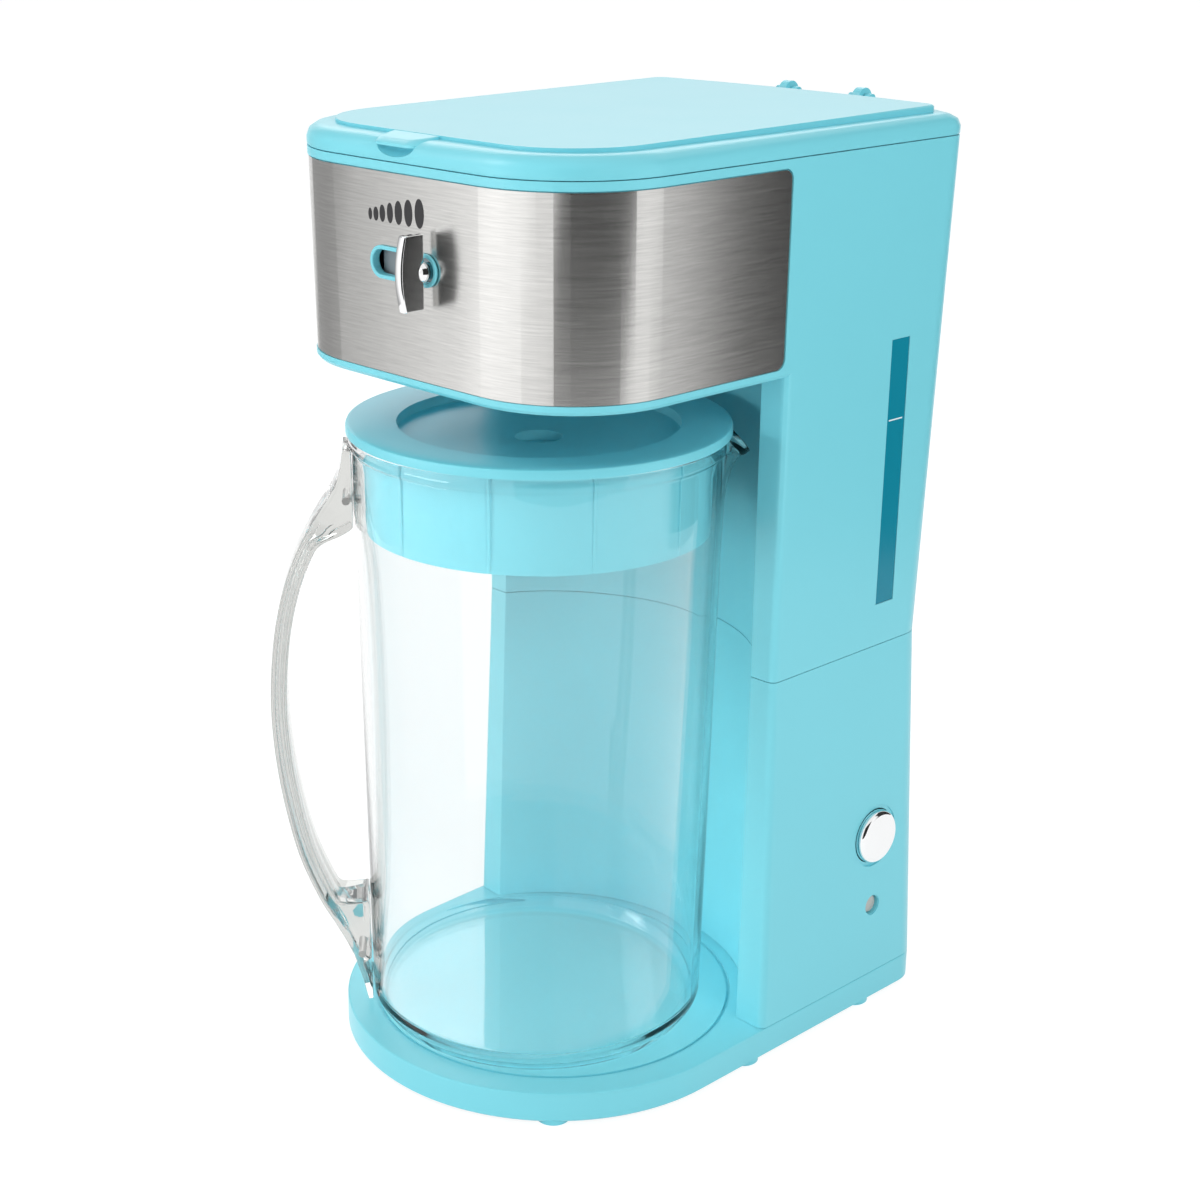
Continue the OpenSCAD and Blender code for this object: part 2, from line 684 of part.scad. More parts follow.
module heater_tube() color(metal) placed() {
    x1 = hose_x + bend_r + 0.2;
    x2 = 44;
    for (y = [hose_y, riser_y]) difference() {
        along_x(x1, y, heat_z, tube_r, x2 - x1);
        along_x(x1 - 1, y, heat_z, tube_r - 0.8, x2 - x1 + 2);
    }
    at(x2 - eps, (hose_y + riser_y) / 2, heat_z) rotate([0, 0, -90]) rotate_extrude(angle = 180)
        translate([(riser_y - hose_y) / 2, 0]) difference() {
            circle(r = tube_r);
            circle(r = tube_r - 0.8);
        }
}

module heater_block() color(metal) placed() difference() {
    block(heater_x0, heater_x1, hose_y - heater_t, riser_y + heater_t, heat_z - heater_t,
        heat_z + heater_t);
    block(heater_x0 - 4, heater_x1 + 10, hose_y + 7, riser_y - 7, heat_z - 1, heat_z + 10);
    for (y = [hose_y, riser_y])
        along_x(heater_x0 - 4, y, heat_z, tube_r + screw_fit, heater_x1 - heater_x0 + 14);
}

module heater_bracket() color(steel) placed() {
    z0 = base_top + 0.3;
    z1 = heat_z - heater_t - 0.1;
    x0 = heater_x0 + 6;
    x1 = heater_x1 - 8;
    y0 = hose_y - 6;
    y1 = riser_y + 6;
    block(x0, x1, y0, y1, z1 - sheet_t, z1);
    for (x = [x0, x1 - sheet_t]) block(x, x + sheet_t, y0, y1, z0, z1);
    block(x0 - 12, x0 + 1, y0, y1, z0, z0 + sheet_t);
    block(x1 - 1, x1 + 12, y0, y1, z0, z0 + sheet_t);
}

module thermostat() color(dark) placed() {
    rod(10, hose_y, heat_z + heater_t + screw_fit, 5.5, 6);
    block(4, 16, hose_y - 1, hose_y + 1, heat_z + 13, heat_z + 18);
}

module thermal_fuse() color(milky) placed() {
    along_x(-24, riser_y, heat_z + 11.1, 3, 24);
    along_x(-32, riser_y, heat_z + 11.1, 0.6, 40);
}

module inlet_hose() color(milky) placed() {
    q = tube_r + screw_fit;
    elbow(hose_x + bend_r, hose_y, heat_z, hose_r, q, -1);
    tube(hose_x, hose_y, heat_z + bend_r, hose_r, q, low_hose);
    tube(hose_x, hose_y, heat_z + bend_r + low_hose + valve_l, hose_r, q,
        tank_z - heat_z - bend_r - low_hose - valve_l - 1);
    difference() {
        along_x(hose_x + bend_r, hose_y, heat_z, hose_r, 8);
        along_x(hose_x + bend_r - 1, hose_y, heat_z, q, 10);
    }
}

module check_valve() color(dark) placed() {
    z0 = heat_z + bend_r + low_hose;
    difference() {
        union() {
            rod(hose_x, hose_y, z0 + 2, valve_r, valve_l - 4);
            rod(hose_x, hose_y, z0 - 8, tube_r, valve_l + 16);
        }
        rod(hose_x, hose_y, z0 - 9, tube_r - 1.4, valve_l + 18);
    }
    tube(hose_x, hose_y, tank_z - 12, tube_r, tube_r - 1.4, 18);
}

module riser_pipe() color(milky) placed() {
    q = tube_r + screw_fit;
    z1 = seam_z - 8;
    elbow(hose_x + bend_r, riser_y, heat_z, riser_r, q, -1);
    tube(hose_x, riser_y, heat_z + bend_r, riser_r, q, z1 - heat_z - bend_r);
    difference() {
        along_x(hose_x + bend_r, riser_y, heat_z, riser_r, 8);
        along_x(hose_x + bend_r - 1, riser_y, heat_z, q, 10);
    }
}

module hose_clips() color(metal) placed() {
    for (y = [hose_y, riser_y]) difference() {
        along_x(hose_x + bend_r + 1, y, heat_z, hose_r + 0.9, 4);
        along_x(hose_x + bend_r, y, heat_z, (y > hose_y ? riser_r : hose_r) + screw_fit, 6);
    }
    for (dz = [-7, valve_l + 3]) let (z = heat_z + bend_r + low_hose + dz) difference() {
        rod(hose_x, hose_y, z, hose_r + 0.9, 4);
        rod(hose_x, hose_y, z - 1, hose_r + screw_fit, 6);
    }
}

module spray_arm() color(milky) placed() {
    z = seam_z - 1;
    dx = 52;
    dy = riser_y - 24;
    joint_r = tube_r + 0.6;
    l = norm([dx, dy]);
    a = atan2(-dy, dx);
    difference() {
        union() {
            rod(hose_x, riser_y, z - 16, tube_r, 16);
            at(hose_x, riser_y, z) rotate([0, 0, a]) along_x(-6, 0, 0, joint_r, 12);
            at(hose_x, riser_y, z) rotate([0, 0, a]) along_x(0, 0, 0, tube_r, l);
            at(hose_x, riser_y, z) rotate([0, 0, a]) along_x(l - 6, 0, 0, joint_r, 12);
            rod(hose_x + dx, riser_y - dy, z - 10, tube_r, 10);
        }
        rod(hose_x, riser_y, z - 17, tube_r - 1, 17);
        at(hose_x, riser_y, z) rotate([0, 0, a]) along_x(-2, 0, 0, tube_r - 1, l + 4);
        rod(hose_x + dx, riser_y - dy, z - 11, tube_r - 1, 11);
    }
}

module terminal_block() color(milky) placed() difference() {
    block(48, 66, 94, 118, base_top + 0.3, base_top + 14);
    for (i = [0:2]) rod(57, 98 + 8 * i, base_top + 6, 2, 12);
}

module cord_gland() color(dark) placed() {
    z = base_top + 18;
    y1 = back_at(z);
    difference() {
        union() {
            along_y(0, back_at(z - 9) + 0.02, z, 9, 1.6);
            along_y(0, y1 - 10, z, 6, 11);
            along_y(0, y1 - 10, z, 8, 5);
        }
        along_y(0, y1 - 12, z, 3.4, 16);
    }
}

module brew_button() color(chrome) placed() {
    x = side_pick;
    z = base_top + button_up;
    difference() {
        union() {
            along_x(x - wall - 3, side_y, z, button_r, wall + 3 + button_out - 1);
            at(x + button_out - 1, side_y, z) rotate([0, 90, 0])
                cylinder(r1 = button_r, r2 = button_r - 1, h = 1);
            along_x(x - wall - 2.4, side_y, z, button_r + 1.6, 2);
        }
        along_x(x - wall - 4, side_y, z, button_r - 2, wall + 2);
    }
    along_x(x - wall - 22, side_y, z, 2.2, wall + 21);
}

module switch_body() color(dark) placed() {
    x = side_pick - wall - 12.1;
    z = base_top + button_up;
    difference() {
        union() {
            along_x(x - 2, side_y, z, button_r + 5, 2);
            block(x - 14, x - 1, side_y - 11, side_y + 11, z - 8, z + 8);
            for (d = [-6, 6]) block(x - 20, x - 13, side_y + d - 0.4, side_y + d + 0.4, z - 3, z + 3);
        }
        along_x(x - 13, side_y, z, 2.6, 16);
    }
}

module lamp_lens() color(clear) placed() {
    x = lamp_x;
    z = base_top + lamp_up;
    along_x(x - wall - 1.4, side_y, z, lamp_r, wall - 0.4);
    at(x - 1.8, side_y, z) rotate([0, 90, 0]) cylinder(r1 = lamp_r, r2 = lamp_r - 0.5, h = 0.5);
    along_x(x - wall - 1.4, side_y, z, lamp_r + 1.3, 1.1);
}

module lamp_holder() color(dark) placed() {
    x = lamp_x - wall - 1.5;
    z = base_top + lamp_up;
    along_x(x - 3.4, side_y, z, lamp_r + 1.4, 3.4);
    along_x(x - 8, side_y, z, lamp_r - 0.6, 5);
}

module housing_screws() color(metal) placed() both() for (p = joint_spots()) difference() {
    union() {
        rod(p[0], p[1], waist_z - 21, screw_r, ledge_z + ledge_t - waist_z + 20);
        rod(p[0], p[1], ledge_z + ledge_t - 1.4, 2.8, 1.2);
    }
    block(p[0] - 1.6, p[0] + 1.6, p[1] - 0.3, p[1] + 0.3, ledge_z + ledge_t - 0.7,
        ledge_z + ledge_t + 1);
}

// Raised panel of the lid, as a ring
function panel_ring(in) = ring(head_w / 2 - panel_side - in, -head_front + panel_set + in,
    head_back - panel_end - in, front_bow, 4, head_r - panel_set + 1 - in, 5 - in, 3, 10);

module top_lid() color(blue) placed() {
    z0 = seam_z + seam_gap;
    zi = rim_z - lid_t - 0.7;
    yf = -head_front;
    difference() {
        union() {
            difference() {
                skin([head_ring(z0, 0.3), head_ring(z0 + 0.4, 0), head_ring(rim_z - 4.8, 0),
                    head_ring(rim_z - 2.2, 1), head_ring(rim_z - 0.6, 3.5), head_ring(rim_z, 6)],
                    [z0, z0 + 0.4, rim_z - 4.8, rim_z - 2.2, rim_z - 0.6, rim_z]);
                head_block(z0 - 1, zi, lid_t);
            }
            raised_panel();
            block(scoop_x - scoop_w / 2 - 2, scoop_x + scoop_w / 2 + 2,
                yf + 2, yf + scoop_d + 2, z0, zi + 1);
            finger_tab(yf);
            both() along_x(hinge_x - knuckle_half, hinge_y, hinge_z, knuckle_r, 2 * knuckle_half);
        }
        difference() {
            translate([scoop_x, yf - 1, rim_z - 0.8])
                scale([scoop_w / 2, scoop_d + 1, scoop_up]) sphere(r = 1, $fn = scoop_fn);
            finger_tab(yf);
            block(-far, far, yf - 2, yf + 20, rim_z - 1.6, rim_z + 10);
        }
        both() {
            block(hinge_x - lug_w / 2 - lug_gap, hinge_x + lug_w / 2 + lug_gap, hinge_y - 5.8,
                hinge_y + 20, z0 - 2, rim_z + 6);
            along_x(hinge_x - pin_half - fit, hinge_y, hinge_z, pin_r + 0.05, 2 * (pin_half + fit));
        }
    }
}

// Ledge over the finger scoop, sloping down from the raised panel
module finger_tab(yf) hull() {
    h = tab_w / 2;
    block(tab_x - h, tab_x + h, yf + panel_set + 1, yf + panel_set + 2, rim_z - 2.4, rim_z + panel_front);
    for (x = [tab_r - h, h - tab_r]) {
        at(tab_x + x, yf + tab_r + 1.8, rim_z - 2.4) cylinder(r = tab_r, h = 2.5, $fn = 40);
        at(tab_x + x, yf + tab_r - tab_out, rim_z - 2.4) cylinder(r = tab_r, h = 0.9, $fn = 40);
    }
}

module raised_panel() {
    z = rim_z - 0.5;
    difference() {
        skin([panel_ring(0), panel_ring(0), panel_ring(0.7)],
            [z, rim_z + panel_back - 0.6, rim_z + panel_back]);
        translate([0, head_back - panel_end, rim_z + panel_back])
            rotate([atan((panel_back - panel_front) / (head_back + head_front - panel_set)), 0, 0])
            translate([-far, -far, 0]) cube([2 * far, 2 * far, 20]);
    }
}

module hinge_pins() color(metal) placed() both()
    along_x(hinge_x - pin_half, hinge_y, hinge_z, pin_r, 2 * pin_half);

// Outside profile of the pitcher's wall, grown by a clearance
module pitcher_outside(grow, zt) rotate_extrude($fn = 128) polygon([[0, pit_z - grow],
    [low_r - 5, pit_z - grow], [low_r - 3 + grow, pit_z + 0.5], [low_r - 1.4 + grow, pit_z + 1.6],
    [low_r - 0.4 + grow, pit_z + 3.2], [low_r + grow, pit_z + 5.4],
    [pit_r + grow, zt - bead_h - 1.4 - grow], [pit_r + bead_out + grow, zt - bead_h - grow],
    [pit_r + bead_out + grow, zt - 0.6], [pit_r + bead_out - 0.6 + grow, zt], [0, zt]]);

module pitcher_body() color(clear) on_axis() difference() {
    union() {
        pitcher_outside(0, pit_rim);
        spout_shape(0);
        lugs(0);
    }
    rotate_extrude($fn = 128) polygon([[0, pit_z + 4], [low_r - 7, pit_z + 4],
        [low_r - 4.4, pit_z + 4.8], [low_r - pit_wall - 0.4, pit_z + 6.8],
        [low_r - pit_wall, pit_z + 9.4], [pit_r - pit_wall, pit_rim - bead_h],
        [pit_r - pit_wall, pit_rim + 1], [0, pit_rim + 1]]);
    spout_shape(2);
    in_handle() for (p = pin_spots()) cross_pin(p, pin_bore);
}

// Pouring beak, whole or as the channel inside it
module spout_shape(in) rotate([0, 0, 47.4]) hull() {
    z = pit_rim;
    block(pit_r - 5, pit_r - 1.6 + in / 4, -12 + in, 12 - in, z - 19 + 2 * in, z - 3.4 + in * 3);
    at(spout_reach - 3.4 - in / 2, 0, z - 9.6 + in * 1.1)
        cylinder(r = 3.4 - in * 0.6, h = 2.6 + in * 3, $fn = 24);
}

function pin_spots() = [[pit_r + 2.4, pit_rim - 24.6], [low_r + 4.2, pit_z + 22.6]];
module in_handle() rotate([0, 0, 270 - handle_turn]) children();
module cross_pin(p, r) at(p[0], 0, p[1]) rotate([90, 0, 0]) cylinder(r = r, h = 60, center = true);

// Lugs that the handle is pinned to, or the sockets round them
module lugs(gap) in_handle() {
    w = lug_half + gap;
    block(pit_r - 1.4, pit_r + 4.8 + gap, -w, w, pit_rim - 27.4 - gap, pit_rim - 9 + gap);
    block(low_r - 1.4, low_r + 6.6 + gap, -w, w, pit_z + 19.6 - gap, pit_z + 26.6 + gap);
}

// Side view of the handle's bow between two circles
module bow_shape(in) difference() {
    translate([handle_reach - bow_out, pit_z + 116]) circle(r = bow_out - in, $fn = 360);
    translate([handle_reach - bow_t - bow_in, pit_z + 118]) circle(r = bow_in + in, $fn = 360);
    translate([-far, -far]) square([far + low_r - 2, 2 * far]);
}

module handle_side() {
    zt = pit_rim - 2;
    difference() {
        union() {
            intersection() {
                bow_shape(0);
                translate([0, pit_z + 2]) square([far, zt - pit_z - 16]);
            }
            intersection() {
                translate([low_r - 2, pit_z + 1]) square([5.2, 30]);
                translate([low_r - 2, 0]) square([4, 200]);
            }
            translate([pit_r - 2, zt - 28]) square([5.2, 28]);
        }
        polygon([[low_r + 1.8, 0], [low_r + 1.8, pit_z + 6], [low_r + 17.6, pit_z + 31.2],
            [low_r + 60, pit_z + 31.2], [low_r + 60, 0]]);
    }
}

module pitcher_handle() color(clear) on_axis() difference() {
    in_handle() rotate([90, 0, 0]) difference() {
        linear_extrude(height = handle_w, center = true) handle_side();
        for (s = [-1, 1]) translate([0, 0, s * (handle_w / 2 - 3.4)])
            linear_extrude(height = 7, center = true) intersection() {
                bow_shape(2.2);
                translate([0, pit_z + 36]) square([far, pit_rim - pit_z - 70]);
            }
    }
    pitcher_outside(0.15, pit_rim + 0.1);
    lugs(fit);
    in_handle() for (p = pin_spots()) cross_pin(p, pin_bore);
}

module handle_pins() color(metal) on_axis() in_handle() for (p = pin_spots())
    at(p[0], 0, p[1]) rotate([90, 0, 0])
        cylinder(r = pin_bore - screw_fit, h = handle_w - 0.4, center = true);

module pitcher_lid() color(blue) on_axis() {
    z1 = lid_top;
    z0 = pit_rim + fit;
    sr = pit_r - pit_wall - skirt_gap;
    si = sr - 1.8;
    zb = pit_rim - skirt_d;
    difference() {
        rotate_extrude($fn = 128) polygon([[9, z1 - 13.6], [9, z1 - 7.4], [dish_r, z1 - 4.8],
            [dish_r, z1 - 1], [flange_r - 1.6, z1], [flange_r - 0.4, z1 - 0.5],
            [flange_r, z1 - 1.4], [flange_r, z0], [sr, z0], [sr, zb], [si, zb], [si, z1 - 3.2],
            [dish_r + 2, z1 - 3.2], [dish_r + 2, z1 - 6.7], [11, z1 - 9.3], [11, z1 - 13.6]]);
        for (i = [0:10]) rotate([0, 0, -91.5 + i * 360 / 11])
            block(sr - 0.7, sr + 1, -0.7, 0.7, zb - 1, z0 - 2);
        rotate([0, 0, 47.4]) for (i = [-2:2]) rotate([0, 0, 4.6 * i])
            block(si - 3, sr + 3, -1.3, 1.3, zb + 5, z0 - 4);
    }
}

module lid_strainer() color(blue) on_axis() difference() {
    rod(0, 0, lid_top - 12.6, 8.95, 1.4);
    for (a = [0:60:300]) rotate([0, 0, a]) rod(5, 0, lid_top - 14, 1.4, 4);
    rod(0, 0, lid_top - 14, 1.4, 4);
}

base_plate();
bottom_cover();
feet();
base_screws();
lower_housing();
upper_housing();
water_tank();
tank_seal();
level_window();
steel_band();
slot_bezel();
strength_lever();
lever_carriage();
lever_screw();
bypass_gate();
lever_guide();
head_floor();
floor_screws();
brew_basket();
filter_cage();
filter_mesh();
spray_arm();
riser_pipe();
inlet_hose();
check_valve();
hose_clips();
heater_tube();
heater_block();
heater_bracket();
thermostat();
thermal_fuse();
terminal_block();
cord_gland();
brew_button();
switch_body();
lamp_lens();
lamp_holder();
housing_screws();
top_lid();
hinge_pins();
pitcher_body();
pitcher_handle();
handle_pins();
pitcher_lid();
lid_strainer();
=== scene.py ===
import bpy, bmesh, json, math
from mathutils import Matrix, Vector

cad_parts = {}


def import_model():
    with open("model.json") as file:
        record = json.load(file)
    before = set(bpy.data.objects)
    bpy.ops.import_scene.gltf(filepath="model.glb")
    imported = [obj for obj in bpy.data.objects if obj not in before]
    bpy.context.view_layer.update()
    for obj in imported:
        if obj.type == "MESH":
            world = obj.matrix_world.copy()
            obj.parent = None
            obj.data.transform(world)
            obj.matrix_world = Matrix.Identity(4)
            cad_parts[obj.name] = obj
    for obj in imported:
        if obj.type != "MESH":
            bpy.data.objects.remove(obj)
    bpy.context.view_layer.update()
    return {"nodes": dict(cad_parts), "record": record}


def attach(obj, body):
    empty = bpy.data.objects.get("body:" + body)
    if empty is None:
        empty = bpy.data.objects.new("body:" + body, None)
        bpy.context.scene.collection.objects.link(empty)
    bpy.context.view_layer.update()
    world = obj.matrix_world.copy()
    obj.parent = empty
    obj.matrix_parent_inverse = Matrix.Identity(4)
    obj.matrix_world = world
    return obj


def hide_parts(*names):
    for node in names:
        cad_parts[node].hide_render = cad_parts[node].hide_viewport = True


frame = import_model()
NODES = frame["nodes"]
SLOT_OF = {s["node"]: s["material_slot"] for s in frame["record"]["subparts"]}

# Lengths of the part are in mm from the middle of the base's front circle, with z up from the table.
# MID is where the frame's origin lies, seen from there.
MID = (0.7005, 29.6144)
# Column and head: half widths at three heights, and those heights
BASE_HALF_W, SEAM_HALF_W, TOP_HALF_W = 82.5, 78.7, 80.3
BASE_Z, HOUSING_SEAM_Z, LID_SEAM_Z = 14, 156.6, 349.8
# Front of the steel band at the lid's seam, how far it leans back, and over what height
HEAD_FRONT_Y, HEAD_LEAN, HEAD_H = -72.8, 1.4, 76.8
SLOT_Z, SLOT_Y, LEVER_X = 315.4, -72.171, 12.1
SIDE_Y, BUTTON_Z, LAMP_Z = 100.7, 75.0, 44.4
# Pitcher: its middle, radii at the rim and the bottom, and heights of the bottom and the rim
PIT_Y = -8.8
PIT_R, LOW_R, PIT_Z, PIT_RIM = 68.9, 65.0, 14.3, 247.6
HANDLE_TURN, SPOUT_TURN = math.radians(230), math.radians(47.4)
SKIRT_R, SKIRT_LOW, SKIRT_TOP = 63.9, 211.7, 245.8
RIBS, RIB_TURN = 11, -91.5


def mm(x, y, z):
    """Point in the frame, in metres."""
    return Vector(((x - MID[0]) / 1000, (y - MID[1]) / 1000, z / 1000))


def half_w(z):
    """Half width of the housings at a height."""
    if z < HOUSING_SEAM_Z:
        a, b, low, high = BASE_HALF_W, SEAM_HALF_W, BASE_Z, HOUSING_SEAM_Z
    else:
        a, b, low, high = SEAM_HALF_W, TOP_HALF_W, HOUSING_SEAM_Z, LID_SEAM_Z
    return a + (b - a) * (z - low) / (high - low)


def front_at(z):
    """Front of the steel band at a height."""
    return HEAD_FRONT_Y + HEAD_LEAN * (LID_SEAM_Z - z) / HEAD_H


# Materials
class Tree:
    """Short calls for a material's nodes."""

    def __init__(self, name):
        self.mat = bpy.data.materials.new(name)
        self.mat.use_nodes = True
        self.nt = self.mat.node_tree
        self.nt.nodes.clear()
        self.out = self.add("ShaderNodeOutputMaterial")
        self.bsdf = self.add("ShaderNodeBsdfPrincipled")
        self.link(self.bsdf.outputs[0], self.out.inputs[0])
        self.coord = self.add("ShaderNodeTexCoord").outputs["Object"]

    def add(self, kind, **values):
        node = self.nt.nodes.new(kind)
        for k, v in values.items():
            setattr(node, k, v)
        return node

    def link(self, a, b):
        self.nt.links.new(a, b)

    def set(self, **values):
        for k, v in values.items():
            self.bsdf.inputs[k.replace("_", " ")].default_value = v

    def noise(self, scale, detail=2.0, stretch=None, rough=0.5):
        node = self.add("ShaderNodeTexNoise")
        node.inputs["Scale"].default_value = scale
        node.inputs["Detail"].default_value = detail
        node.inputs["Roughness"].default_value = rough
        src = self.coord
        if stretch:
            m = self.add("ShaderNodeMapping")
            m.inputs["Scale"].default_value = stretch
            self.link(src, m.inputs["Vector"])
            src = m.outputs[0]
        self.link(src, node.inputs["Vector"])
        return node.outputs["Fac"]

    def span(self, value, low, high, a, b):
        """Value mapped from a to b onto low to high."""
        m = self.add("ShaderNodeMapRange")
        for k, v in zip(("From Min", "From Max", "To Min", "To Max"), (a, b, low, high)):
            m.inputs[k].default_value = v
        self.link(value, m.inputs["Value"])
        return m.outputs[0]

    def tint(self, value, dark, light):
        m = self.add("ShaderNodeMix", data_type="RGBA")
        m.inputs[6].default_value = (*dark, 1)
        m.inputs[7].default_value = (*light, 1)
        self.link(value, m.inputs[0])
        self.link(m.outputs[2], self.bsdf.inputs["Base Color"])

    def gloss(self, value, rough, spread, a, b):
        """Roughness that varies by a share of itself."""
        self.link(self.span(value, rough * (1 - spread), rough * (1 + spread), a, b),
                  self.bsdf.inputs["Roughness"])

    def bump(self, value, strength, distance):
        b = self.add("ShaderNodeBump")
        b.inputs["Strength"].default_value = strength
        b.inputs["Distance"].default_value = distance
        self.link(value, b.inputs["Height"])
        self.link(b.outputs[0], self.bsdf.inputs["Normal"])


def shade(c, k):
    return tuple(min(v * k, 1) for v in c)


def plastic(name, color, rough, vary=0.02, grain=1500, bump=0.04, **more):
    """Moulded plastic: fine grain, slow colour drift and slightly uneven gloss."""
    t = Tree(name)
    t.tint(t.span(t.noise(7), 0, 1, 0, 1), shade(color, 1 - vary), shade(color, 1 + vary))
    t.gloss(t.noise(22), rough, 0.1, 0, 1)
    t.bump(t.noise(grain), bump, 0.0002)
    t.set(**more)
    return t.mat


def metal(name, color, rough, stretch=None, grain=300, vary=0.05, bump=0.05, **more):
    """Metal with brushed or plain grain."""
    t = Tree(name)
    fine = t.noise(grain, 4, stretch, 0.65)
    t.tint(t.span(fine, 0, 1, 0.2, 0.8), shade(color, 1 - vary), shade(color, 1 + vary))
    t.gloss(t.noise(grain * 0.6, 3, stretch), rough, 0.1, 0.2, 0.8)
    if bump:
        t.bump(fine, bump, 0.0001)
    if "Anisotropic" in more:
        tangent = t.add("ShaderNodeTangent", direction_type="RADIAL", axis="Z")
        t.link(tangent.outputs[0], t.bsdf.inputs["Tangent"])
    t.set(Metallic=1.0, **more)
    return t.mat


def glassy(name, color, rough, ior, grain=60, bump=0.01):
    """Clear moulded plastic with a faint flow in its surface."""
    t = Tree(name)
    t.tint(t.span(t.noise(9), 0, 1, 0, 1), shade(color, 0.985), color)
    t.gloss(t.noise(30), rough, 0.5, 0, 1)
    t.bump(t.noise(grain), bump, 0.0004)
    t.set(Transmission_Weight=1.0, IOR=ior)
    return t.mat


BLUE = (0.19, 0.645, 0.745)
PLASTIC_IOR = 1.45
MATS = {
    "blue_plastic": plastic("blue_moulded", BLUE, 0.3, Specular_IOR_Level=0.45),
    "clear_plastic": glassy("clear_moulded", (0.95, 0.965, 0.965), 0.015, PLASTIC_IOR),
    "milky_plastic": plastic("milky_moulded", (0.78, 0.85, 0.86), 0.4, Transmission_Weight=0.25),
    "dark_plastic": plastic("dark_moulded", (0.03, 0.03, 0.033), 0.42, vary=0.1),
    "chrome": metal("chrome_plate", (0.86, 0.865, 0.87), 0.05, grain=40, vary=0.015, bump=0.0),
    "brushed_steel": metal("brushed_band", (0.63, 0.625, 0.61), 0.25, stretch=(0.04, 0.04, 1.0),
                           grain=1500, vary=0.14, bump=0.08, Anisotropic=0.65,
                           Anisotropic_Rotation=0.25),
    "plain_steel": metal("plain_steel", (0.6, 0.6, 0.6), 0.32),
    "aluminium": metal("cast_aluminium", (0.68, 0.69, 0.7), 0.45, bump=0.15),
    "rubber": plastic("black_rubber", (0.025, 0.025, 0.026), 0.75, vary=0.1, bump=0.1),
}
GREY_CLEAR = glassy("handle_clear", (0.66, 0.665, 0.645), 0.05, PLASTIC_IOR, grain=90, bump=0.03)
WINDOW = plastic("window_tint", (0.004, 0.225, 0.322), 0.16, bump=0.01, Specular_IOR_Level=0.2)
GREY = plastic("grey_moulded", (0.22, 0.25, 0.27), 0.4)
LAMP = plastic("lamp_pale", (0.62, 0.63, 0.6), 0.12, Transmission_Weight=0.3)
PRINT = plastic("dark_print", (0.012, 0.012, 0.014), 0.45, vary=0.05)
WHITE_PRINT = plastic("white_print", (0.75, 0.85, 0.88), 0.5)

# Nodes whose look differs from the rest of their slot
OWN_LOOK = {"level_window": WINDOW, "lever_carriage": GREY, "lever_guide": GREY}

# Edges over SHARP_ANGLE degrees stay sharp, and vertices within WELD_GAP metres are shaded as one
SHARP_ANGLE = 38
WELD_GAP = 2e-6


# Shading of the CAD nodes
def sharp_group(angle):
    """Node group that marks edges over an angle as sharp."""
    g = bpy.data.node_groups.new("sharp_over_angle", "GeometryNodeTree")
    g.interface.new_socket("Geometry", in_out="INPUT", socket_type="NodeSocketGeometry")
    g.interface.new_socket("Geometry", in_out="OUTPUT", socket_type="NodeSocketGeometry")
    gi, go = g.nodes.new("NodeGroupInput"), g.nodes.new("NodeGroupOutput")
    edge = g.nodes.new("GeometryNodeInputMeshEdgeAngle")
    less = g.nodes.new("FunctionNodeCompare")
    less.operation = "LESS_THAN"
    less.inputs[1].default_value = math.radians(angle)
    setter = g.nodes.new("GeometryNodeSetShadeSmooth")
    setter.domain = "EDGE"
    g.links.new(edge.outputs[0], less.inputs[0])
    g.links.new(less.outputs[0], setter.inputs["Shade Smooth"])
    g.links.new(gi.outputs[0], setter.inputs[0])
    g.links.new(setter.outputs[0], go.inputs[0])
    return g


def soften(obj, group):
    """Smooth shading over the facets of a CAD node, with its vertices left as they are."""
    mesh = obj.data
    for name in ("custom_normal", "sharp_edge", "sharp_face"):
        if name in mesh.attributes:
            mesh.attributes.remove(mesh.attributes[name])
    mesh.polygons.foreach_set("use_smooth", [True] * len(mesh.polygons))
    weld = obj.modifiers.new("weld", "WELD")
    weld.merge_threshold = WELD_GAP
    obj.modifiers.new("sharp", "NODES").node_group = group
    # The band keeps plain smooth normals
    if obj.name != "steel_band":
        even = obj.modifiers.new("even", "WEIGHTED_NORMAL")
        even.keep_sharp = True
        even.weight = 100


def dress_nodes():
    group = sharp_group(SHARP_ANGLE)
    for name, obj in NODES.items():
        obj.data.materials.clear()
        obj.data.materials.append(OWN_LOOK.get(name, MATS[SLOT_OF[name]]))
        soften(obj, group)


# Mesh helpers
def link_new(name, data):
    obj = bpy.data.objects.new(name, data)
    bpy.context.scene.collection.objects.link(obj)
    return obj


def piece(name, verts, faces, mat, body, smooth=SHARP_ANGLE, replaces=()):
    """Object of the part, with its body and the nodes that it replaces."""
    mesh = bpy.data.meshes.new(name)
    mesh.from_pydata([tuple(v) for v in verts], [], faces)
    bm = bmesh.new()
    bm.from_mesh(mesh)
    bmesh.ops.remove_doubles(bm, verts=bm.verts, dist=1e-7)
    bmesh.ops.recalc_face_normals(bm, faces=bm.faces)
    bm.to_mesh(mesh)
    bm.free()
    mesh.polygons.foreach_set("use_smooth", [True] * len(mesh.polygons))
    mesh.set_sharp_from_angle(angle=math.radians(smooth))
    mesh.materials.append(mat)
    obj = link_new(name, mesh)
    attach(obj, body)
    if replaces:
        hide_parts(*replaces)
    return obj


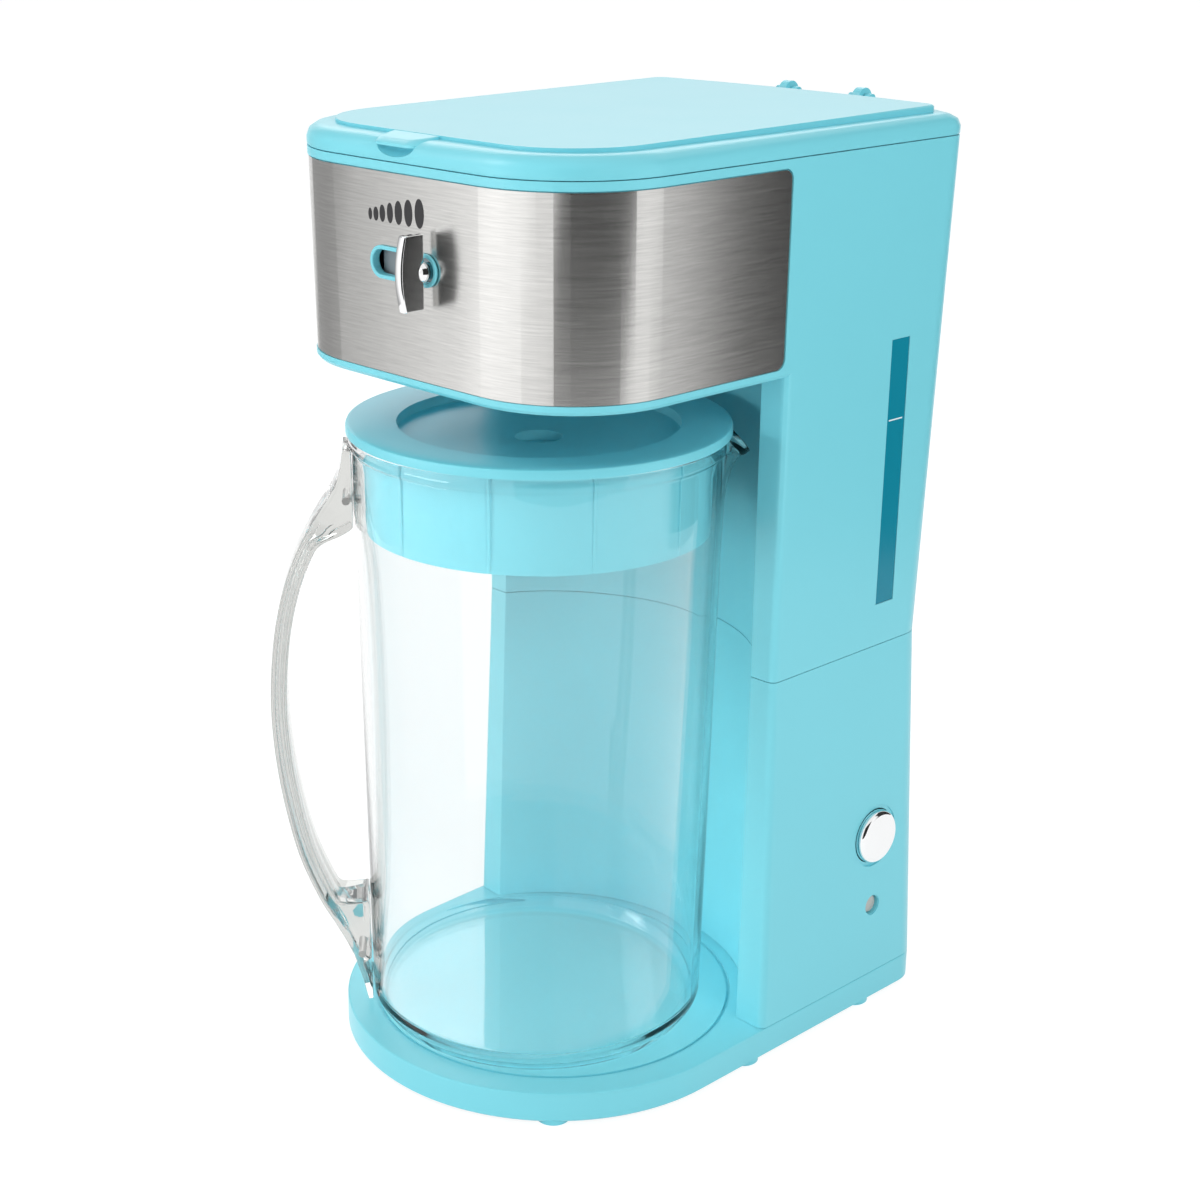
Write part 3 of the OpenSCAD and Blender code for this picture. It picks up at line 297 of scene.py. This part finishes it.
def loft_faces(rows, cols, closed=False):
    """Faces over rows of closed rings, with the last row joined to the first or capped."""
    out = []
    for i in range(rows if closed else rows - 1):
        for j in range(cols):
            a, b = i * cols + j, i * cols + (j + 1) % cols
            c, d = ((i + 1) % rows) * cols + (j + 1) % cols, ((i + 1) % rows) * cols + j
            out.append((a, b, c, d))
    if not closed:
        out += [list(range(cols))[::-1], list(range((rows - 1) * cols, rows * cols))]
    return out


def round_poly(points, radii, steps):
    """Closed 2-D polygon with its corners rounded, each by its own radius."""
    out, n = [], len(points)
    for i, (p, r) in enumerate(zip(points, radii)):
        p, a, b = Vector(p), Vector(points[i - 1]), Vector(points[(i + 1) % n])
        u, v = (a - p).normalized(), (b - p).normalized()
        half = math.acos(max(-1, min(1, u.dot(v)))) / 2
        if r <= 0:
            out.append(p)
            continue
        if half > math.pi / 2 - 0.01 or half < 0.02:
            out += [p] * (steps + 1)
            continue
        d = min(r / math.tan(half), (a - p).length * 0.49, (b - p).length * 0.49)
        s, e = p + u * d, p + v * d
        for k in range(steps + 1):
            t = k / steps
            out.append((1 - t) ** 2 * s + 2 * t * (1 - t) * p + t * t * e)
    return out


def lathe(name, profile, mat, body, frame_of, n=96, replaces=()):
    """Surface of revolution of a closed (r, h) profile. frame_of gives a point for (r, h, angle)."""
    verts = []
    for k in range(n):
        a = 2 * math.pi * k / n
        verts += [frame_of(p[0], p[1], a) for p in profile]
    piece(name, verts, loft_faces(n, len(profile), True), mat, body, replaces=replaces)


def obround(l, h, n=20):
    """Obround outline with its outward directions."""
    pts = []
    for side in (1, -1):
        for k in range(n + 1):
            a = math.radians(-90 + 180 * k / n) + (0 if side > 0 else math.pi)
            pts.append(((side * (l - h) / 2 + h / 2 * math.cos(a), h / 2 * math.sin(a)),
                        (math.cos(a), math.sin(a))))
    return pts


# Details of the head and the side
def slot_bezel():
    """Rounded lip round the lever's slot, on a sleeve that lines it."""
    length, height = 31.8, 8.6
    lip, proud, sleeve, deep = 1.45, 0.85, 0.85, 2.3
    section = round_poly([(0, 1.2), (0, -proud), (lip, -proud), (lip, 0.0), (sleeve, 0.0),
                          (sleeve, deep), (0, deep)], [0, 0.55, 0.8, 0.05, 0, 0.2, 0.2], 6)
    verts, path = [], obround(length, height)
    for (x, z), (nx, nz) in path:
        verts += [mm(x + nx * s[0], SLOT_Y + s[1], SLOT_Z + z + nz * s[0]) for s in section]
    piece("bezel_ring", verts, loft_faces(len(path), len(section), True),
          MATS["blue_plastic"], "machine", replaces=("slot_bezel",))


def scale_marks():
    """Seven growing ellipses over the lever, a plain strength scale."""
    low, steps, bow = 329.1, 40, 1.1
    marks = ((-17.8, 1.9, 4.1), (-14.7, 2.6, 4.8), (-11.2, 2.9, 5.9), (-7.1, 3.1, 7.0),
             (-2.6, 3.9, 8.1), (2.6, 4.2, 9.1), (8.3, 4.7, 10.0))
    verts, faces = [], []
    for x, w, h in marks:
        first = len(verts)
        for dy in (0.34, 0.3):
            for k in range(steps):
                a = 2 * math.pi * k / steps
                px, pz = x + w / 2 * math.cos(a), low + h / 2 + h / 2 * math.sin(a)
                verts.append(mm(px, front_at(pz) + dy + bow * (px / 80) ** 2, pz))
        ring = list(range(first, first + steps))
        faces += [ring, [i + steps for i in ring]]
        faces += [(ring[k], ring[(k + 1) % steps], ring[(k + 1) % steps] + steps, ring[k] + steps)
                  for k in range(steps)]
    piece("scale_marks", verts, faces, PRINT, "machine")


def lever():
    """Chrome paddle with a bowed front edge, a rounded back and a ball where the stem enters it."""
    back, reach, half_h, half_t = SLOT_Y - 2.5, 10.6, 13.0, 1.8
    bow, round_end, rows = 2.0, 0.045, 49
    verts = []
    for i in range(rows):
        t = -1 + 2 * i / (rows - 1)
        # Rows gather at both ends, where the paddle is rounded
        s = math.copysign(1 - (1 - abs(t)) ** 1.6, t)
        end = math.sqrt(max(1 - max(abs(s) - 1 + round_end, 0) ** 2 / round_end ** 2, 0.0))
        front = back - reach + bow * s * s
        w = half_t * (0.62 + 0.38 * end)
        mid, depth = (front + back) / 2, (back - front) / 2 * (0.93 + 0.07 * end)
        section = round_poly([(-w, -depth), (w, -depth), (w * 0.86, depth), (-w * 0.86, depth)],
                             [1.1, 1.1, 0.7, 0.7], 6)
        verts += [mm(LEVER_X + p[0], mid + p[1], SLOT_Z + s * half_h) for p in section]
    piece("lever_paddle", verts, loft_faces(rows, len(verts) // rows), MATS["chrome"], "lever",
          smooth=50, replaces=("strength_lever",))
    stem = [(0, -1.2), (1.6, -1.2), (2.9, -0.4), (3.7, 0.8), (3.75, 1.6), (3.2, 2.4), (3.0, 3.0),
            (3.0, 7.9), (0, 7.9)]
    lathe("lever_stem", round_poly(stem, [0, 0.8, 0.8, 0.8, 0.5, 0.5, 0.3, 0.4, 0], 3),
          MATS["chrome"], "lever",
          lambda r, h, a: mm(LEVER_X + r * math.cos(a), back - 1.4 + h, SLOT_Z + r * math.sin(a)),
          n=48)


def side_round(z):
    """Frame for a lathed piece that looks out of the side at a height."""
    x = half_w(z)
    return lambda r, h, a: mm(x + h, SIDE_Y + r * math.cos(a), z + r * math.sin(a))


def button():
    """Chrome cap with a slightly domed face, and the stem behind it."""
    cap_r, proud, dome, deep = 11.05, 3.0, 0.22, 5.4
    prof = [(r, proud - dome * (r / 10) ** 2) for r in (0, 2, 4, 6, 8, 9.4)]
    prof += [(cap_r - 1.1, 2.7), (cap_r - 0.6, 2.35), (cap_r - 0.2, 1.8), (cap_r, 1.0),
             (cap_r, -deep), (0, -deep)]
    at = side_round(BUTTON_Z)
    lathe("button_cap", prof, MATS["chrome"], "button", at, replaces=("brew_button",))
    lathe("button_stem", [(0, -5), (2.2, -5), (2.2, -24), (0, -24)], MATS["chrome"], "button", at,
          n=32)


def lamp():
    """Lens of the lamp, recessed in its hole."""
    r, deep = 3.75, 3.6
    prof = [(0, -1.35), (3.0, -1.4), (3.45, -1.55), (r, -1.9), (r, -deep), (0, -deep)]
    lathe("lamp_disc", prof, LAMP, "machine", side_round(LAMP_Z), n=48,
          replaces=("lamp_lens",))


def level_mark():
    """Plain printed line across the upper part of the window."""
    z, half_h, sunk, thick = 246.6, 0.25, 0.18, 0.06
    x = half_w(z) - sunk
    verts = [mm(x + dx, y, z + dz) for dx in (0, thick) for y, dz in
             ((96.6, -half_h), (104.6, -half_h), (104.6, half_h), (96.6, half_h))]
    faces = [(0, 1, 2, 3), (4, 5, 6, 7), (0, 1, 5, 4), (1, 2, 6, 5), (2, 3, 7, 6), (3, 0, 4, 7)]
    piece("level_mark", verts, faces, WHITE_PRINT, "machine")


# Pitcher
def eased(points, t):
    """Value at t on a list of (t, value) pairs, eased between them."""
    for (a, u), (b, v) in zip(points, points[1:]):
        if t <= b:
            k = max(0.0, min(1.0, (t - a) / (b - a)))
            return u + (v - u) * k * k * (3 - 2 * k)
    return points[-1][1]


def pitcher_shell():
    """Thin wall with a beaded rim that is drawn out into a low pouring beak."""
    zt, wall, bead = PIT_RIM, 2.6, 1.6
    beak_half, beak_rise, beak_out, beak_drop = 15, 27, 7.7, 8.5
    outer = [(0, PIT_Z), (LOW_R - 4, PIT_Z), (LOW_R, PIT_Z + 6)]
    outer += [(LOW_R + (PIT_R - LOW_R) * k / 12, PIT_Z + 6 + (zt - 12 - PIT_Z) * k / 12)
              for k in range(2, 11)]
    outer += [(PIT_R, zt - 26 + 4 * k) for k in range(6)]
    outer += [(PIT_R + bead, zt - 4.4), (PIT_R + bead, zt), (PIT_R - wall, zt)]
    inner = [(PIT_R - wall, zt - 2 - 4 * k) for k in range(7)]
    inner += [(LOW_R - wall, PIT_Z + 9), (LOW_R - wall - 2.4, PIT_Z + 4), (0, PIT_Z + 4)]
    radii = [0, 3, 4] + [0] * 9 + [0] * 5 + [1.2, 1.4, 0.8, 0.8] + [0] * 7 + [4, 2.5, 0]
    section = round_poly(outer + inner, radii, 5)
    # Half a degree apart over the beak, and wider round the rest
    turns = [a / 2 for a in range(-44, 45)] + [22 + 316 * k / 126 for k in range(1, 126)]
    verts = []
    for turn in turns:
        side = abs(turn) / beak_half
        beak = (0.5 + 0.5 * math.cos(math.pi * side)) ** 0.9 if side < 1 else 0.0
        a = SPOUT_TURN + math.radians(turn)
        for r, z in section:
            rise = max(0.0, (z - (zt - beak_rise)) / beak_rise)
            out = r + beak_out * beak * rise ** 1.5 if r > 1 else r
            verts.append(mm(out * math.cos(a), PIT_Y + out * math.sin(a),
                            z - beak_drop * beak * rise ** 2.5))
    shell = piece("pitcher_shell", verts, loft_faces(len(turns), len(section), True),
                  MATS["clear_plastic"], "pitcher", replaces=("pitcher_body",))
    shell.visible_shadow = False


def skirt_ribs():
    """Low rounded ribs down the skirt of the pitcher's lid, seated in its grooves."""
    half, sunk, proud = 0.74, 0.69, 0.8
    section = round_poly([(-half, -sunk), (half, -sunk), (half, proud), (-half, proud)],
                         [0, 0, 0.55, 0.55], 4)
    # Heights, and the share of a rib's full height there
    rows = ((SKIRT_LOW, 0.0), (SKIRT_LOW + 6, 0.6), (SKIRT_TOP - 2, 1.0), (SKIRT_TOP, 1.0))
    verts, faces = [], []
    for i in range(RIBS):
        turn = math.radians(RIB_TURN + i * 360 / RIBS)
        first = len(verts)
        for z, lift in rows:
            for w, h in section:
                r = SKIRT_R + (h * lift if h > 0 else h)
                verts.append(mm(r * math.cos(turn) - w * math.sin(turn),
                                PIT_Y + r * math.sin(turn) + w * math.cos(turn), z))
        faces += [tuple(first + v for v in f) for f in loft_faces(len(rows), len(section))]
    piece("skirt_ribs", verts, faces, MATS["blue_plastic"], "pitcher_cover")


# Inner edge of the handle, as distance from the pitcher's middle and height
GRIP_EDGE = [(66.9, 17.2), (67.9, 21), (69.1, 26.3), (70.6, 31), (72.2, 35.6), (75, 42),
             (79, 49.6), (85.6, 62), (92.6, 80), (97.6, 102), (100.6, 124), (101.4, 146),
             (99.4, 170), (95, 190), (88.7, 206), (81.8, 218), (77.2, 225.3), (74.3, 231.5),
             (72.9, 237), (72.3, 242.2)]
# Depth of the handle by height; 30 stands for all the way to the pitcher's wall
GRIP_DEPTH = [(0, 30), (20.4, 30), (22, 2.3), (32.4, 2.3), (34, 30), (45, 30), (58, 6), (206, 6),
              (221, 14), (226, 30), (300, 30)]
# Share of the side grooves' full depth, by height
GRIP_GROOVE = [(0, 0), (46, 0), (58, 1), (204, 1), (216, 0), (300, 0)]


def spline(points, steps):
    """Smooth curve through 2-D points."""
    pts, last = [], len(points) - 1
    for i in range(last):
        p0, p1, p2, p3 = (Vector(points[max(0, min(last, i + k))]) for k in (-1, 0, 1, 2))
        for k in range(steps):
            t = k / steps
            pts.append(0.5 * ((2 * p1) + (p2 - p0) * t + (2 * p0 - 5 * p1 + 4 * p2 - p3) * t * t
                              + (3 * p1 - p0 - 3 * p2 + p3) * t ** 3))
    return pts + [Vector(points[-1])]


def pitcher_grip():
    """Bowed handle with a groove down each side, closed to the wall near both ends."""
    half, groove_deep, wall_gap = 10, 6.9, 0.35
    wall_low, wall_h = 20, 223
    corner = [1.1, 0.8, 0.6, 0.6, 0.8, 1.1]
    pts = spline(GRIP_EDGE, 8)
    last = len(pts) - 1
    verts, m = [], 0
    for i, p in enumerate(pts):
        along = (pts[min(i + 1, last)] - pts[max(i - 1, 0)]).normalized()
        inward = Vector((-along.y, along.x))
        wall = LOW_R + (PIT_R - LOW_R) * (p.y - wall_low) / wall_h + wall_gap
        reach = (p.x - wall) / max(-inward.x, 0.3)
        depth = min(eased(GRIP_DEPTH, p.y), reach)
        groove = groove_deep * eased(GRIP_GROOVE, p.y)
        rim = min(2.2, depth * 0.3)
        step = min(0.5, depth * 0.08)
        side = [(half, 0), (half, rim), (half - groove, rim + step),
                (half - groove, depth - rim - step), (half, depth - rim), (half, depth)]
        loop = round_poly(side + [(-w, d) for w, d in side[::-1]],
                          [min(c, depth * 0.2) for c in corner + corner[::-1]], 4)
        m = len(loop)
        for w, d in loop:
            u, z = p.x + inward.x * d, p.y + inward.y * d
            verts.append(mm(u * math.cos(HANDLE_TURN) - w * math.sin(HANDLE_TURN),
                            PIT_Y + u * math.sin(HANDLE_TURN) + w * math.cos(HANDLE_TURN), z))
    grip = piece("pitcher_grip", verts, loft_faces(len(pts), m), GREY_CLEAR, "pitcher",
                 smooth=45, replaces=("pitcher_handle",))
    grip.visible_shadow = False


# Stage, in metres
FLOOR_HALF = 20
FLOOR_GLOW, FLOOR_GLOW_SHARE = 1.26, 0.7
WORLD_SEEN, WORLD_DIFFUSE = 1.0, 0.45
CARD_H = 0.9
# Name, place, target, size, power and whether reflections show it
LIGHTS = (
    ("key", (-1.3, -1.5, 1.7), (0, 0, 0.18), (1.2, 1.2), 20, True),
    ("top", (0.2, 0.1, 2.2), (0, 0, 0.2), (1.6, 1.6), 3, False),
    ("side", (2.0, -0.4, 0.9), (0, 0, 0.2), (1.2, 1.2), 20, False),
    ("low", (-0.7, -1.6, 0.3), (0, 0, 0.2), (1.0, 0.4), 8.5, False),
    ("back", (-1.25, 1.15, 1.25), (0, 0, 0.36), (1.4, 0.9), 5.5, True),
)
# Name, turn in degrees, distance, reach to both sides, two (place, glow) ends of the grading, and
# whether the clear pieces show it as well
CARDS = (
    ("front_bright", -112, 0.9, (-0.42, 0.5), ((0, 1.5), (0.2, 1.45)), False),
    ("front_dark", -31, 0.8, (-0.42, 0.6), ((-0.3, 0.03), (0.3, 0.03)), True),
    ("right_bright", 24, 0.8, (-0.16, 0.2), ((0, 1.1), (0.2, 1.0)), False),
    ("left_grade", -141, 0.62, (-0.7, 0.16), ((0, 0.4), (0.13, 1.15)), False),
    ("right_grade", 47.1, 0.62, (-0.16, 0.5), ((-0.12, 0.9), (-0.08, 0.04)), True),
)


def backdrop():
    """Plain white floor that keeps a soft shadow."""
    t = Tree("floor_white")
    t.set(Base_Color=(0.86, 0.86, 0.86, 1), Roughness=0.9, Specular_IOR_Level=0.1)
    glow = t.add("ShaderNodeEmission")
    glow.inputs["Strength"].default_value = FLOOR_GLOW
    ray = t.add("ShaderNodeLightPath")
    seen = ray.outputs["Is Camera Ray"]
    for kind in ("Is Transmission Ray", "Is Glossy Ray"):
        either = t.add("ShaderNodeMath", operation="MAXIMUM")
        t.link(seen, either.inputs[0])
        t.link(ray.outputs[kind], either.inputs[1])
        seen = either.outputs[0]
    part = t.add("ShaderNodeMath", operation="MULTIPLY")
    part.inputs[1].default_value = FLOOR_GLOW_SHARE
    t.link(seen, part.inputs[0])
    mix = t.add("ShaderNodeMixShader")
    t.link(part.outputs[0], mix.inputs[0])
    t.link(t.bsdf.outputs[0], mix.inputs[1])
    t.link(glow.outputs[0], mix.inputs[2])
    t.link(mix.outputs[0], t.out.inputs[0])
    mesh = bpy.data.meshes.new("floor")
    mesh.from_pydata([(x, y, 0) for x, y in ((-FLOOR_HALF, -FLOOR_HALF), (FLOOR_HALF, -FLOOR_HALF),
                                             (FLOOR_HALF, FLOOR_HALF), (-FLOOR_HALF, FLOOR_HALF))],
                     [], [(0, 1, 2, 3)])
    mesh.materials.append(t.mat)
    link_new("floor", mesh)


def world():
    """White to the camera and in reflections, and a plain grey as light on the object."""
    w = bpy.data.worlds.new("studio")
    bpy.context.scene.world = w
    w.use_nodes = True
    nt = w.node_tree
    nt.nodes.clear()
    out = nt.nodes.new("ShaderNodeOutputWorld")
    bg = nt.nodes.new("ShaderNodeBackground")
    bg.inputs[0].default_value = (1, 1, 1, 1)
    ray = nt.nodes.new("ShaderNodeLightPath")
    level = nt.nodes.new("ShaderNodeMix")
    nt.links.new(ray.outputs["Is Diffuse Ray"], level.inputs[0])
    level.inputs[2].default_value, level.inputs[3].default_value = WORLD_SEEN, WORLD_DIFFUSE
    nt.links.new(level.outputs[0], bg.inputs[1])
    nt.links.new(bg.outputs[0], out.inputs[0])


def area(name, spot, target, size, power, glossy):
    light = bpy.data.lights.new(name, "AREA")
    light.shape = "RECTANGLE"
    light.size, light.size_y = size
    light.energy = power
    obj = link_new(name, light)
    obj.location = spot
    obj.rotation_euler = (Vector(target) - Vector(spot)).to_track_quat("-Z", "Y").to_euler()
    obj.visible_glossy = glossy
    obj.visible_camera = False


def card(name, turn, distance, span, ramp, lens):
    """Upright studio card that only reflections show, graded across its width."""
    t = Tree(name + "_card")
    split = t.add("ShaderNodeSeparateXYZ")
    t.link(t.coord, split.inputs[0])
    (a, u), (b, v) = ramp
    glow = t.add("ShaderNodeEmission")
    t.link(t.span(split.outputs[0], u, v, a, b), glow.inputs["Strength"])
    t.link(glow.outputs[0], t.out.inputs[0])
    (left, right), lift = span, 0.02
    mesh = bpy.data.meshes.new(name)
    mesh.from_pydata([(left, lift, 0), (right, lift, 0), (right, CARD_H, 0), (left, CARD_H, 0)],
                     [], [(0, 1, 2, 3)])
    mesh.materials.append(t.mat)
    obj = link_new(name, mesh)
    turn = math.radians(turn)
    out, rise = Vector((math.cos(turn), math.sin(turn), 0)), Vector((0, 0, 1))
    side = Vector((-out.y, out.x, 0))
    m = Matrix((side, rise, side.cross(rise))).transposed().to_4x4()
    m.translation = out * distance
    obj.matrix_world = m
    for seen in ("visible_camera", "visible_diffuse", "visible_shadow", "visible_volume_scatter"):
        setattr(obj, seen, False)
    obj.visible_transmission = lens


# Camera fitted to the photograph: turn and tilt in degrees, focal length and picture centre in
# pixels of the square frame, and its place and sensor in mm
CAM_TURN, CAM_TILT = 47.377, 18.156
FRAME_PX, FOCAL_PX, CENTRE_PX = 1200, 2125.70, (508.89, 551.56)
CAM_SPOT = (550.67, -530.59, 448.14)
SENSOR = 36


def camera():
    az, e = math.radians(CAM_TURN), math.radians(CAM_TILT)
    back = Vector((math.sin(az) * math.cos(e), -math.cos(az) * math.cos(e), math.sin(e)))
    right = Vector((math.cos(az), math.sin(az), 0))
    up = back.cross(right)
    cam = bpy.data.cameras.new("camera")
    cam.sensor_width, cam.lens = SENSOR, FOCAL_PX / FRAME_PX * SENSOR
    cam.shift_x = -(CENTRE_PX[0] - FRAME_PX / 2) / FRAME_PX
    cam.shift_y = (CENTRE_PX[1] - FRAME_PX / 2) / FRAME_PX
    cam.clip_start = 0.01
    obj = link_new("camera", cam)
    m = Matrix((right, up, back)).transposed().to_4x4()
    m.translation = mm(*CAM_SPOT)
    obj.matrix_world = m
    bpy.context.scene.camera = obj


dress_nodes()
slot_bezel()
scale_marks()
lever()
button()
lamp()
level_mark()
pitcher_shell()
skirt_ribs()
pitcher_grip()
backdrop()
world()
for row in LIGHTS:
    area(*row)
for row in CARDS:
    card(*row)
camera()
bpy.context.scene.view_settings.view_transform = "Standard"
